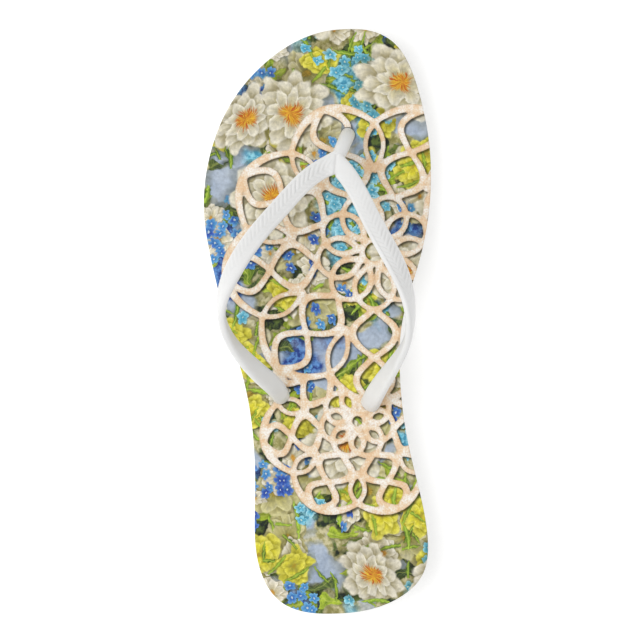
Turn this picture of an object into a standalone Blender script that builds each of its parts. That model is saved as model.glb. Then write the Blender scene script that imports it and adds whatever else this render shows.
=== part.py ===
"""Thong sandal for the left foot: a foam rubber sole, a printed footbed sheet and a moulded strap.

+Y points to the toe, +X to the inner (medial) side of the foot and +Z up. The origin lies on the floor,
under the middle of the sandal's box. Lengths below are in millimetres; solid() turns them into metres.
"""

import math
from collections import namedtuple

import bmesh
import bpy
import numpy as np

METRES_PER_MM = 0.001

# Sole: a blunt-ended oval whose centre line and width change from heel to toe.
SOLE_LENGTH = 256.0
END_BLUNTNESS = 2.4
SoleRow = namedtuple("SoleRow", "along centre fullness top")
SOLE_ROWS = (
    # along: share of the length from the heel; centre: sideways shift; fullness: half width before the
    # ends round it off; top: height of the footbed over the floor.
    SoleRow(along=0.00, centre=0.0, fullness=74.2, top=19.6),
    SoleRow(along=0.05, centre=3.4, fullness=66.0, top=19.2),
    SoleRow(along=0.10, centre=3.7, fullness=57.4, top=18.9),
    SoleRow(along=0.20, centre=2.4, fullness=43.7, top=18.6),
    SoleRow(along=0.30, centre=0.0, fullness=36.2, top=18.4),
    SoleRow(along=0.40, centre=-2.6, fullness=34.8, top=17.8),
    SoleRow(along=0.50, centre=-4.8, fullness=38.5, top=16.7),
    SoleRow(along=0.60, centre=-3.5, fullness=46.2, top=15.3),
    SoleRow(along=0.70, centre=-2.3, fullness=53.4, top=14.2),
    SoleRow(along=0.80, centre=0.0, fullness=57.7, top=14.1),
    SoleRow(along=0.90, centre=4.3, fullness=59.8, top=15.4),
    SoleRow(along=1.00, centre=13.1, fullness=60.8, top=18.8),
)
HEEL_DISH = 1.0
HEEL_DISH_LENGTH = 0.5
ARCH_SUPPORT = 1.4
ARCH_SUPPORT_AT = 0.43
ARCH_SUPPORT_SPREAD = 0.13

# Underside: flat under the heel and the ball, lifted at the back, along the arch and under the toes.
BACK_BEVEL_FROM = -116.0
BACK_BEVEL_LIFT = 2.0
ARCH_BACK = -66.0
ARCH_FRONT = 10.0
ARCH_LIFT = 3.0
TOE_SPRING_FROM = 66.0
TOE_SPRING_LIFT = 6.5

STATIONS = 56
COLUMNS = 6
SideRing = namedtuple("SideRing", "rise inset")
SOLE_SIDE = (
    # rise: share of the sole's height; inset: distance inside the outline.
    SideRing(rise=0.00, inset=2.8),
    SideRing(rise=0.09, inset=1.3),
    SideRing(rise=0.35, inset=0.7),
    SideRing(rise=0.94, inset=0.2),
    SideRing(rise=1.00, inset=0.6),
)

FOOTBED_THICKNESS = 1.6
LAYER_GAP = 0.3
FOOTBED_SIDE = (
    SideRing(rise=0.00, inset=0.3),
    SideRing(rise=0.20, inset=0.0),
    SideRing(rise=0.60, inset=0.0),
    SideRing(rise=0.90, inset=0.3),
    SideRing(rise=1.00, inset=0.8),
)

# Lugs: bars across the flat parts of the underside, parted by shallow bowed grooves.
GROOVE_WIDTH = 2.4
GROOVE_DEPTH = 1.8
GROOVE_BOW = 7.0
GROOVE_REACH = 62.0
GROOVE_STEPS = 8
HEEL_GROOVES = (-113.0, -59.0, 7)
BALL_GROOVES = (8.0, 110.0, 12)

# Strap: two arms that meet in a mitre over the toe post.
ArmRow = namedtuple("ArmRow", "x y height width thickness lean")
CREASE_FRONT = (7.5, 75.4)
CREASE_BACK = (5.9, 64.4)
JUNCTION_HEIGHT = 30.0
JUNCTION_THICKNESS = 4.2
CREASE_RISE = 1.6
OUTER_ARM = (
    # lean: turn of the strap's outer face from facing up (0) through facing outwards (90) to facing
    # down (180), in degrees; the rows run from the junction to the hole in the sole.
    ArmRow(x=6.7, y=69.9, height=30.0, width=9.0, thickness=3.9, lean=0),
    ArmRow(x=-2.9, y=65.0, height=32.6, width=8.7, thickness=3.6, lean=2),
    ArmRow(x=-16.3, y=52.7, height=39.2, width=8.7, thickness=3.5, lean=10),
    ArmRow(x=-29.8, y=38.2, height=47.2, width=9.1, thickness=3.5, lean=24),
    ArmRow(x=-41.0, y=21.3, height=54.0, width=9.5, thickness=3.6, lean=43),
    ArmRow(x=-45.6, y=5.9, height=54.6, width=10.0, thickness=3.7, lean=86),
    ArmRow(x=-42.2, y=-6.4, height=49.6, width=10.0, thickness=3.7, lean=108),
    ArmRow(x=-35.4, y=-15.9, height=42.0, width=10.0, thickness=3.7, lean=128),
    ArmRow(x=-28.5, y=-22.9, height=33.2, width=9.4, thickness=3.8, lean=145),
    ArmRow(x=-22.8, y=-28.7, height=24.6, width=8.6, thickness=4.8, lean=157),
    ArmRow(x=-20.9, y=-31.9, height=18.1, width=7.6, thickness=7.4, lean=161),
)
INNER_ARM = (
    ArmRow(x=6.7, y=69.9, height=30.0, width=9.0, thickness=3.9, lean=0),
    ArmRow(x=12.0, y=62.8, height=33.4, width=8.6, thickness=3.6, lean=3),
    ArmRow(x=20.6, y=45.6, height=42.4, width=8.7, thickness=3.5, lean=11),
    ArmRow(x=27.3, y=32.1, height=49.6, width=9.4, thickness=3.5, lean=24),
    ArmRow(x=33.2, y=19.4, height=54.6, width=9.7, thickness=3.6, lean=40),
    ArmRow(x=36.6, y=5.6, height=56.4, width=9.8, thickness=3.7, lean=68),
    ArmRow(x=35.6, y=-8.0, height=52.4, width=10.0, thickness=3.7, lean=92),
    ArmRow(x=31.0, y=-17.0, height=45.4, width=10.0, thickness=3.7, lean=112),
    ArmRow(x=25.4, y=-24.8, height=36.2, width=10.0, thickness=3.7, lean=129),
    ArmRow(x=20.3, y=-32.3, height=26.2, width=9.2, thickness=4.6, lean=147),
    ArmRow(x=18.1, y=-36.4, height=18.2, width=8.6, thickness=7.4, lean=156),
)
ARM_STEPS_PER_ROW = 3
ARM_SECTION_POINTS = 16
ARM_SQUARENESS = 3.0
BOSS_SQUARENESS = 2.2
BAND_THICKNESS = 3.9
BOSS_THICKNESS = 7.0
PostRow = namedtuple("PostRow", "x y height radius")
TOE_POST = (
    PostRow(x=12.3, y=81.7, height=14.6, radius=3.2),
    PostRow(x=11.5, y=80.0, height=20.4, radius=3.2),
    PostRow(x=9.4, y=75.6, height=26.2, radius=3.1),
    PostRow(x=7.5, y=71.6, height=29.5, radius=2.9),
)
POST_STEPS_PER_ROW = 3
POST_SECTION_POINTS = 16

# Anchors: pegs through round holes, each with a plug sunk in the underside.
PEG_RADIUS = 3.1
PLUG_RADIUS = 8.6
PLUG_THICKNESS = 2.6
PLUG_SUNK = 0.8
PLUG_EDGE = 0.5
PEG_RISE = 1.0
CLEARANCE = 0.3
ROUND_SEGMENTS = 20
HOLE_SEGMENTS = 28

SOLE_COLOUR = (0.83, 0.83, 0.81, 1.0)
FOOTBED_COLOUR = (0.36, 0.43, 0.53, 1.0)
STRAP_COLOUR = (0.86, 0.87, 0.88, 1.0)


def clear_scene():
    for leftover in list(bpy.data.objects):
        bpy.data.objects.remove(leftover, do_unlink=True)


def natural_spline(knots, values, at):
    """The natural cubic through (knots, values), read at one place or at an array of places."""
    knots = np.asarray(knots, float)
    values = np.asarray(values, float)
    spans = np.diff(knots)
    slopes = np.diff(values) / spans
    system = np.eye(len(knots))
    bends = np.zeros(len(knots))
    for i in range(1, len(knots) - 1):
        system[i, i - 1 : i + 2] = spans[i - 1], 2 * (spans[i - 1] + spans[i]), spans[i]
        bends[i] = 6 * (slopes[i] - slopes[i - 1])
    bends = np.linalg.solve(system, bends)
    i = np.clip(np.searchsorted(knots, at) - 1, 0, len(spans) - 1)
    after = np.asarray(at, float) - knots[i]
    before = knots[i + 1] - at
    cubic = (bends[i] * before**3 + bends[i + 1] * after**3) / (6 * spans[i])
    start = values[i] / spans[i] - bends[i] * spans[i] / 6
    end = values[i + 1] / spans[i] - bends[i + 1] * spans[i] / 6
    return cubic + start * before + end * after


def column(rows, name):
    return [getattr(row, name) for row in rows]


def sole_row(name, along):
    return natural_spline(column(SOLE_ROWS, "along"), column(SOLE_ROWS, name), along)


def half_width(along):
    rounding = np.clip(4 * along * (1 - along), 0, 1) ** (1 / END_BLUNTNESS)
    return sole_row("fullness", along) * rounding


def plan_shift():
    """What centres the outline sideways on the origin."""
    along = np.linspace(0, 1, 2001)
    lowest = np.min(sole_row("centre", along) - half_width(along))
    highest = np.max(sole_row("centre", along) + half_width(along))
    return -(lowest + highest) / 2


SHIFT = plan_shift()


def underside(y):
    """Height of the sole's underside over the floor."""
    back = np.clip((BACK_BEVEL_FROM - y) / (SOLE_LENGTH / 2 + BACK_BEVEL_FROM), 0, 1)
    arch = np.clip((y - ARCH_BACK) / (ARCH_FRONT - ARCH_BACK), 0, 1)
    toe = np.clip((y - TOE_SPRING_FROM) / (SOLE_LENGTH / 2 - TOE_SPRING_FROM), 0, 1)
    return BACK_BEVEL_LIFT * back**2 + ARCH_LIFT * np.sin(math.pi * arch) ** 2 + TOE_SPRING_LIFT * toe**2


def footbed_top(x, y):
    """Height of the footbed: a shallow heel dish, and a rise along the inner arch."""
    along = np.clip(y / SOLE_LENGTH + 0.5, 0, 1)
    half = np.maximum(half_width(along), 1.0)
    across = np.clip((x - SHIFT - sole_row("centre", along)) / half, -1, 1)
    heel = np.clip(1 - along / HEEL_DISH_LENGTH, 0, 1)
    dish = HEEL_DISH * (1 - across**2) * np.sin(math.pi * heel) ** 2
    arch = np.exp(-(((along - ARCH_SUPPORT_AT) / ARCH_SUPPORT_SPREAD) ** 2))
    support = ARCH_SUPPORT * np.clip(across, 0, 1) ** 2 * arch
    return sole_row("top", along) - dish + support


def outline_sides(inset):
    """The outer and the inner side of the outline, from heel to toe, moved inwards by the inset."""
    angle = np.linspace(0, math.pi, STATIONS + 1)
    along = (1 - np.cos(angle)) / 2
    centre = sole_row("centre", along) + SHIFT
    y = (along - 0.5) * SOLE_LENGTH
    outer = np.stack([centre - half_width(along), y], axis=1)
    inner = np.stack([centre + half_width(along), y], axis=1)
    ring = np.concatenate([outer, inner[-2:0:-1]])
    tangent = np.roll(ring, -1, axis=0) - np.roll(ring, 1, axis=0)
    tangent /= np.linalg.norm(tangent, axis=1, keepdims=True)
    inward = np.stack([tangent[:, 1], -tangent[:, 0]], axis=1)
    ring = ring + inset * inward
    back_along_inner = np.concatenate([ring[:1], ring[: len(outer) - 2 : -1]])
    return ring[: len(outer)], back_along_inner


def net(inset):
    """A net of points inside the outline, as rows from heel to toe; its end rows shrink to one point."""
    outer, inner = outline_sides(inset)
    share = (1 - np.cos(np.linspace(0, math.pi, COLUMNS + 1))) / 2
    return outer[:, None, :] + (inner - outer)[:, None, :] * share[None, :, None]


def solid(name, points, faces, colour, roughness):
    """A mesh object from points in millimetres, with its own plain material."""
    mesh = bpy.data.meshes.new(name)
    mesh.from_pydata([tuple(np.asarray(p) * METRES_PER_MM) for p in points], [], faces)
    tidy = bmesh.new()
    tidy.from_mesh(mesh)
    bmesh.ops.remove_doubles(tidy, verts=tidy.verts, dist=1e-7)
    bmesh.ops.dissolve_degenerate(tidy, edges=tidy.edges, dist=1e-7)
    bmesh.ops.recalc_face_normals(tidy, faces=tidy.faces)
    tidy.to_mesh(mesh)
    tidy.free()
    mesh.shade_smooth()
    mesh.set_sharp_from_angle(angle=math.radians(35))
    material = bpy.data.materials.new(name)
    material.use_nodes = True
    shader = material.node_tree.nodes["Principled BSDF"]
    shader.inputs["Base Color"].default_value = colour
    shader.inputs["Roughness"].default_value = roughness
    shader.inputs["Metallic"].default_value = 0.0
    mesh.materials.append(material)
    made = bpy.data.objects.new(name, mesh)
    bpy.context.collection.objects.link(made)
    return made


def helper(name, points, faces):
    """A cutter or a piece that a Boolean adds to another object."""
    made = solid(name, points, faces, SOLE_COLOUR, 0.5)
    made.hide_render = True
    made.display_type = "WIRE"
    return made


def combine(target, other, operation):
    step = target.modifiers.new(f"{operation} {other.name}", "BOOLEAN")
    step.operation = operation
    step.solver = "EXACT"
    step.object = other


def slab(name, low, high, side, colour, roughness):
    """A slab inside the outline between two height functions, its edge shaped by the side rings."""
    points = []
    faces = []

    def add_net(inset, height):
        start = len(points)
        grid = net(inset)
        points.extend((x, y, height(x, y)) for x, y in grid.reshape(-1, 2))
        return start + np.arange(grid.shape[0] * grid.shape[1]).reshape(grid.shape[:2])

    def edge_of(grid):
        return list(grid[:, 0]) + list(grid[-2:0:-1, -1])

    below = add_net(side[0].inset, low)
    above = add_net(side[-1].inset, high)
    rings = [edge_of(below)]
    for ring in side[1:-1]:
        outer, inner = outline_sides(ring.inset)
        around = np.concatenate([outer, inner[-2:0:-1]])
        rings.append(list(range(len(points), len(points) + len(around))))
        for x, y in around:
            bottom = low(x, y)
            points.append((x, y, bottom + ring.rise * (high(x, y) - bottom)))
    rings.append(edge_of(above))
    for grid in (below, above):
        for i in range(STATIONS):
            for j in range(COLUMNS):
                faces.append((grid[i, j], grid[i, j + 1], grid[i + 1, j + 1], grid[i + 1, j]))
    for lower, upper in zip(rings, rings[1:]):
        for k in range(len(lower)):
            m = (k + 1) % len(lower)
            faces.append((lower[k], lower[m], upper[m], upper[k]))
    return solid(name, points, faces, colour, roughness)


def tube(name, rings, make):
    """A closed tube through rings of equal point counts."""
    count = len(rings[0])
    points = [p for ring in rings for p in ring]
    faces = [tuple(range(count)), tuple(range(len(points) - count, len(points)))]
    for i in range(len(rings) - 1):
        for k in range(count):
            m = (k + 1) % count
            near = i * count
            far = near + count
            faces.append((near + k, near + m, far + m, far + k))
    return make(name, points, faces)


def turned(name, centre, profile, segments):
    """A round solid from (radius, height) pairs, its first and last radius zero."""
    rings = []
    for radius, height in profile[1:-1]:
        angles = np.linspace(0, math.tau, segments, endpoint=False)
        around = [(centre[0] + radius * math.cos(a), centre[1] + radius * math.sin(a)) for a in angles]
        rings.append([(x, y, height) for x, y in around])
    return tube(name, rings, helper)


def groove_lines():
    for first, last, count in (HEEL_GROOVES, BALL_GROOVES):
        yield from np.linspace(first, last, count)


def cut_grooves(sole):
    """One bowed bar for each groove, cut from below."""
    for number, y_edge in enumerate(groove_lines()):
        rings = []
        for x in np.linspace(-GROOVE_REACH, GROOVE_REACH, GROOVE_STEPS + 1):
            y = y_edge + GROOVE_BOW * (1 - (x / GROOVE_REACH) ** 2)
            roof = underside(y) + GROOVE_DEPTH
            back = y - GROOVE_WIDTH / 2
            front = y + GROOVE_WIDTH / 2
            floor = -GROOVE_DEPTH
            rings.append([(x, back, floor), (x, front, floor), (x, front, roof), (x, back, roof)])
        combine(sole, tube(f"groove_{number}", rings, helper), "DIFFERENCE")


def anchors():
    """Name and place of each hole, heel side first."""
    yield "outer", OUTER_ARM[-1].x + SHIFT, OUTER_ARM[-1].y
    yield "inner", INNER_ARM[-1].x + SHIFT, INNER_ARM[-1].y
    yield "toe", TOE_POST[0].x + SHIFT, TOE_POST[0].y


def cut_holes(sole, footbed):
    for name, x, y in anchors():
        top = footbed_top(x, y) + GROOVE_DEPTH
        recess_top = underside(y) + PLUG_SUNK + PLUG_THICKNESS + CLEARANCE
        hole = PEG_RADIUS + CLEARANCE
        recess = PLUG_RADIUS + CLEARANCE
        bore = ((0, 0), (hole, -GROOVE_DEPTH), (hole, top), (0, 0))
        pocket = ((0, 0), (recess, -GROOVE_DEPTH), (recess, recess_top), (0, 0))
        drill = turned(f"hole_{name}", (x, y), bore, HOLE_SEGMENTS)
        combine(sole, drill, "DIFFERENCE")
        combine(footbed, drill, "DIFFERENCE")
        combine(sole, turned(f"recess_{name}", (x, y), pocket, HOLE_SEGMENTS), "DIFFERENCE")


def arm_stations(rows):
    """Places along one arm, denser towards the hole as the rows are, leaving out the mitre."""
    places = np.array([(row.x + SHIFT, row.y, row.height) for row in rows])
    knots = np.concatenate([[0], np.cumsum(np.linalg.norm(np.diff(places, axis=0), axis=1))])
    shares = np.arange(1 + ARM_STEPS_PER_ROW * (len(rows) - 1)) / ARM_STEPS_PER_ROW
    at = np.interp(shares, np.arange(len(rows)), knots)[2:]
    path = np.stack([natural_spline(knots, places[:, axis], at) for axis in range(3)], axis=1)
    ahead = np.stack([natural_spline(knots, places[:, axis], at + 0.05) for axis in range(3)], axis=1)
    shape = [natural_spline(knots, column(rows, name), at) for name in ("width", "thickness", "lean")]
    return path, ahead - path, np.stack(shape, axis=1)


def oval(centre, wide, thick, squareness, count):
    """A ring of points round the centre, between an ellipse (2) and a rounded oblong (3 and more)."""
    ring = []
    for k in range(count):
        angle = math.tau * (k + 0.5) / count
        c, s = math.cos(angle), math.sin(angle)
        across = math.copysign(abs(c) ** (2 / squareness), c)
        through = math.copysign(abs(s) ** (2 / squareness), s)
        ring.append(centre + across * wide + through * thick)
    return ring


def seated(ring):
    """The ring laid down on the footbed, with the usual gap."""
    return [np.array([x, y, footbed_top(x, y) + LAYER_GAP]) for x, y, _ in ring]


def arm_rings(rows, side):
    """The arm's cross sections; side is 1 where the outer face lies left of the way down the rows."""
    rings = []
    for centre, ahead, (width, thickness, lean) in zip(*arm_stations(rows)):
        forward = ahead / np.linalg.norm(ahead)
        outward = side * np.array([-forward[1], forward[0], 0.0])
        outward /= np.linalg.norm(outward)
        upward = np.cross(outward, forward)
        upward *= math.copysign(1, upward[2] + 1e-9)
        turn = math.radians(lean)
        face = math.cos(turn) * upward + math.sin(turn) * outward
        wide = math.cos(turn) * outward - math.sin(turn) * upward
        swell = np.clip((thickness - BAND_THICKNESS) / (BOSS_THICKNESS - BAND_THICKNESS), 0, 1)
        squareness = ARM_SQUARENESS + (BOSS_SQUARENESS - ARM_SQUARENESS) * swell
        rings.append(oval(centre, wide * width / 2, face * thickness / 2, squareness, ARM_SECTION_POINTS))
    rings[-1] = seated(rings[-1])
    return rings


def mitre_ring():
    """The section that both arms share, along the crease at the fork."""
    front = np.array([*CREASE_FRONT, JUNCTION_HEIGHT - CREASE_RISE / 2])
    back = np.array([*CREASE_BACK, JUNCTION_HEIGHT + CREASE_RISE / 2])
    centre = (front + back) / 2 + np.array([SHIFT, 0, 0])
    wide = (front - back) / 2
    face = np.cross([1.0, 0.0, 0.0], wide)
    face /= np.linalg.norm(face)
    return oval(centre, wide, face * JUNCTION_THICKNESS / 2, ARM_SQUARENESS, ARM_SECTION_POINTS)


def post_rings():
    places = np.array([(row.x + SHIFT, row.y, row.height) for row in TOE_POST])
    knots = np.concatenate([[0], np.cumsum(np.linalg.norm(np.diff(places, axis=0), axis=1))])
    at = np.linspace(0, knots[-1], POST_STEPS_PER_ROW * (len(TOE_POST) - 1) + 1)
    path = np.stack([natural_spline(knots, places[:, axis], at) for axis in range(3)], axis=1)
    radii = natural_spline(knots, column(TOE_POST, "radius"), at)
    rings = []
    for centre, forward, radius in zip(path, np.gradient(path, axis=0), radii):
        forward = forward / np.linalg.norm(forward)
        wide = np.cross(forward, [0.0, 1.0, 0.0])
        wide /= np.linalg.norm(wide)
        thick = np.cross(forward, wide)
        rings.append(oval(centre, wide * radius, thick * radius, 2.0, POST_SECTION_POINTS))
    rings[0] = seated(rings[0])
    return rings


def make_strap():
    rings = arm_rings(OUTER_ARM, -1)[::-1] + [mitre_ring()] + arm_rings(INNER_ARM, 1)

    def strap_body(name, points, faces):
        return solid(name, points, faces, STRAP_COLOUR, 0.35)

    strap = tube("strap", rings, strap_body)
    combine(strap, tube("post", post_rings(), helper), "UNION")
    for name, x, y in anchors():
        low = underside(y) + PLUG_SUNK
        high = low + PLUG_THICKNESS
        top = footbed_top(x, y) + PEG_RISE
        profile = (
            (0, low),
            (PLUG_RADIUS - PLUG_EDGE, low),
            (PLUG_RADIUS, low + PLUG_EDGE),
            (PLUG_RADIUS, high - PLUG_EDGE),
            (PLUG_RADIUS - PLUG_EDGE, high),
            (PEG_RADIUS, high),
            (PEG_RADIUS, top),
            (0, top),
        )
        combine(strap, turned(f"anchor_{name}", (x, y), profile, ROUND_SEGMENTS), "UNION")


def sole_top(x, y):
    return footbed_top(x, y) - FOOTBED_THICKNESS - LAYER_GAP


def footbed_bottom(x, y):
    return footbed_top(x, y) - FOOTBED_THICKNESS


def sole_bottom(x, y):
    return underside(y)


clear_scene()
sole = slab("sole", sole_bottom, sole_top, SOLE_SIDE, SOLE_COLOUR, 0.6)
footbed = slab("footbed", footbed_bottom, footbed_top, FOOTBED_SIDE, FOOTBED_COLOUR, 0.65)
cut_grooves(sole)
cut_holes(sole, footbed)
make_strap()
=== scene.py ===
"""Looks of a thong sandal for the left foot: moulded foam sole, printed footbed and white moulded strap.

The sandal's sizes are in millimetres and the studio's in metres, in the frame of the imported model: +Y to
the toe, +X to the inner side, +Z up.
"""

import math
from collections import namedtuple

import bmesh
import bpy
import numpy as np
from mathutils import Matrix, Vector
from mathutils.kdtree import KDTree


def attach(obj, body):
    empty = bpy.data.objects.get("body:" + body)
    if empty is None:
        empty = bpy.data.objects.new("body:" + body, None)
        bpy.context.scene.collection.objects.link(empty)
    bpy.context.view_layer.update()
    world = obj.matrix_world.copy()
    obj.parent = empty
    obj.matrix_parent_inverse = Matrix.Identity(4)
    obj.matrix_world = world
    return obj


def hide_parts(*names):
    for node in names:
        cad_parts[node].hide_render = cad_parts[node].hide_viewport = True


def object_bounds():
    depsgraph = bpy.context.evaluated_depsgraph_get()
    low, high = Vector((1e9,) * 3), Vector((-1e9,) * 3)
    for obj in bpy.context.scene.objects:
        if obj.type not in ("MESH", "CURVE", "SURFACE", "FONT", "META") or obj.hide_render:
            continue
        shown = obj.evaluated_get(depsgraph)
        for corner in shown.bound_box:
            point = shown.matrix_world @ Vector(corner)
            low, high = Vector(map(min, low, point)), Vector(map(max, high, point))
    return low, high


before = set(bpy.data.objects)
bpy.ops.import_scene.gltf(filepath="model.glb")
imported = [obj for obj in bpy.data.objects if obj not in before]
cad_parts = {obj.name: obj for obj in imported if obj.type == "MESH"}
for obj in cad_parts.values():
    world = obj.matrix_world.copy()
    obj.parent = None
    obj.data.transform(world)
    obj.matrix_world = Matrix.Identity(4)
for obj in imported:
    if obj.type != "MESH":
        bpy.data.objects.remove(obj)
cad_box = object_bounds()

# ---------------------------------------------------------------------------------------------------
# Sole. A slab of cross-linked foam rubber, pressed in a heated mould that gives it the tread and a
# fine matt grain, then trimmed along its outline. The heel and the ball lie flat on the floor.

METRES_PER_MM = 0.001
SOLE_LENGTH = 256.0
END_BLUNTNESS = 2.4
# Along is a share of the length from the heel, fullness the half width before the ends are rounded, and
# top the footbed's height.
SoleRow = namedtuple("SoleRow", "along centre fullness top")
SOLE_ROWS = (
    SoleRow(along=0.00, centre=0.0, fullness=74.2, top=19.6),
    SoleRow(along=0.05, centre=3.4, fullness=66.0, top=19.2),
    SoleRow(along=0.10, centre=3.7, fullness=57.4, top=18.9),
    SoleRow(along=0.20, centre=2.4, fullness=43.7, top=18.6),
    SoleRow(along=0.30, centre=0.0, fullness=36.2, top=18.4),
    SoleRow(along=0.40, centre=-2.6, fullness=34.8, top=17.8),
    SoleRow(along=0.50, centre=-4.8, fullness=38.5, top=16.7),
    SoleRow(along=0.60, centre=-3.5, fullness=46.2, top=15.3),
    SoleRow(along=0.70, centre=-2.3, fullness=53.4, top=14.2),
    SoleRow(along=0.80, centre=0.0, fullness=57.7, top=14.1),
    SoleRow(along=0.90, centre=4.3, fullness=59.8, top=15.4),
    SoleRow(along=1.00, centre=13.1, fullness=60.8, top=18.8),
)
LEAST_HALF_WIDTH = 1.0
OUTLINE_SAMPLES = 2001
# Stations stand closer together along this share of the length at either end, down to this share of the
# usual step.
END_SHARE = 0.12
SMALLEST_STEP = 0.02
HEEL_DISH = 1.0
HEEL_DISH_LENGTH = 0.5
ARCH_SUPPORT = 1.4
ARCH_SUPPORT_AT = 0.43
ARCH_SUPPORT_SPREAD = 0.13
BACK_BEVEL_FROM = -116.0
BACK_BEVEL_LIFT = 2.0
ARCH_BACK = -66.0
ARCH_FRONT = 10.0
ARCH_LIFT = 3.0
TOE_SPRING_FROM = 66.0
TOE_SPRING_LIFT = 6.5
# Rise is a share of the height, and inset how far the side stands back from the outline there.
SideRing = namedtuple("SideRing", "rise inset")
SOLE_SIDE = (
    SideRing(rise=0.00, inset=2.8),
    SideRing(rise=0.02, inset=2.2),
    SideRing(rise=0.05, inset=1.7),
    SideRing(rise=0.09, inset=1.3),
    SideRing(rise=0.20, inset=0.95),
    SideRing(rise=0.35, inset=0.7),
    SideRing(rise=0.60, inset=0.45),
    SideRing(rise=0.85, inset=0.25),
    SideRing(rise=0.94, inset=0.2),
    SideRing(rise=0.98, inset=0.35),
    SideRing(rise=1.00, inset=0.6),
)
FOOTBED_THICKNESS = 1.6
LAYER_GAP = 0.3
GROOVE_WIDTH = 2.4
GROOVE_DEPTH = 1.8
GROOVE_BOW = 7.0
GROOVE_REACH = 62.0
GROOVE_STEPS = 24
Grooves = namedtuple("Grooves", "first last count")
HEEL_GROOVES = Grooves(first=-113.0, last=-59.0, count=7)
BALL_GROOVES = Grooves(first=8.0, last=110.0, count=12)
HoleRow = namedtuple("HoleRow", "x y")
HOLES = (HoleRow(x=-20.9, y=-31.9), HoleRow(x=18.1, y=-36.4), HoleRow(x=12.3, y=81.7))
PEG_RADIUS = 3.1
PLUG_RADIUS = 8.6
PLUG_THICKNESS = 2.6
PLUG_SUNK = 0.8
CLEARANCE = 0.3
HOLE_SEGMENTS = 64
# How far a cutter reaches past the face that it opens.
OVERCUT = 1.8
WELD_DISTANCE = 1e-7


def natural_spline(knots, values, at):
    """The natural cubic through (knots, values), read at one place or at an array of places."""
    knots = np.asarray(knots, float)
    values = np.asarray(values, float)
    spans = np.diff(knots)
    slopes = np.diff(values) / spans
    system = np.eye(len(knots))
    bends = np.zeros(len(knots))
    for i in range(1, len(knots) - 1):
        system[i, i - 1 : i + 2] = spans[i - 1], 2 * (spans[i - 1] + spans[i]), spans[i]
        bends[i] = 6 * (slopes[i] - slopes[i - 1])
    bends = np.linalg.solve(system, bends)
    i = np.clip(np.searchsorted(knots, at) - 1, 0, len(spans) - 1)
    after = np.asarray(at, float) - knots[i]
    before = knots[i + 1] - at
    cubic = (bends[i] * before**3 + bends[i + 1] * after**3) / (6 * spans[i])
    start = values[i] / spans[i] - bends[i] * spans[i] / 6
    end = values[i + 1] / spans[i] - bends[i + 1] * spans[i] / 6
    return cubic + start * before + end * after


def column(rows, name):
    return [getattr(row, name) for row in rows]


def sole_row(name, along):
    return natural_spline(column(SOLE_ROWS, "along"), column(SOLE_ROWS, name), along)


def half_width(along):
    rounding = np.clip(4 * along * (1 - along), 0, 1) ** (1 / END_BLUNTNESS)
    return sole_row("fullness", along) * rounding


def plan_shift():
    """What centres the outline sideways on the origin."""
    along = np.linspace(0, 1, OUTLINE_SAMPLES)
    lowest = np.min(sole_row("centre", along) - half_width(along))
    highest = np.max(sole_row("centre", along) + half_width(along))
    return -(lowest + highest) / 2


SHIFT = plan_shift()


def underside(x, y):
    """Height of the sole's underside over the floor."""
    back = np.clip((BACK_BEVEL_FROM - y) / (SOLE_LENGTH / 2 + BACK_BEVEL_FROM), 0, 1)
    arch = np.clip((y - ARCH_BACK) / (ARCH_FRONT - ARCH_BACK), 0, 1)
    toe = np.clip((y - TOE_SPRING_FROM) / (SOLE_LENGTH / 2 - TOE_SPRING_FROM), 0, 1)
    return BACK_BEVEL_LIFT * back**2 + ARCH_LIFT * np.sin(math.pi * arch) ** 2 + TOE_SPRING_LIFT * toe**2


def footbed_top(x, y):
    """Height of the footbed: a shallow heel dish, and a rise along the inner arch."""
    along = np.clip(y / SOLE_LENGTH + 0.5, 0, 1)
    half = np.maximum(half_width(along), LEAST_HALF_WIDTH)
    across = np.clip((x - SHIFT - sole_row("centre", along)) / half, -1, 1)
    heel = np.clip(1 - along / HEEL_DISH_LENGTH, 0, 1)
    dish = HEEL_DISH * (1 - across**2) * np.sin(math.pi * heel) ** 2
    arch = np.exp(-(((along - ARCH_SUPPORT_AT) / ARCH_SUPPORT_SPREAD) ** 2))
    support = ARCH_SUPPORT * np.clip(across, 0, 1) ** 2 * arch
    return sole_row("top", along) - dish + support


def sole_top(x, y):
    return footbed_top(x, y) - FOOTBED_THICKNESS - LAYER_GAP


def outline_sides(inset, stations):
    """The outer and the inner side of the outline, from heel to toe, moved inwards by the inset."""
    between = (np.arange(stations) + 0.5) / stations
    steps = np.clip(np.minimum(between, 1 - between) / END_SHARE, SMALLEST_STEP, 1)
    along = np.concatenate([[0], np.cumsum(steps)]) / steps.sum()
    centre = sole_row("centre", along) + SHIFT
    y = (along - 0.5) * SOLE_LENGTH
    outer = np.stack([centre - half_width(along), y], axis=1)
    inner = np.stack([centre + half_width(along), y], axis=1)
    ring = np.concatenate([outer, inner[-2:0:-1]])
    tangent = np.roll(ring, -1, axis=0) - np.roll(ring, 1, axis=0)
    tangent /= np.linalg.norm(tangent, axis=1, keepdims=True)
    inward = np.stack([tangent[:, 1], -tangent[:, 0]], axis=1)
    ring = ring + inset * inward
    back_along_inner = np.concatenate([ring[:1], ring[: len(outer) - 2 : -1]])
    return ring[: len(outer)], back_along_inner


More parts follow.
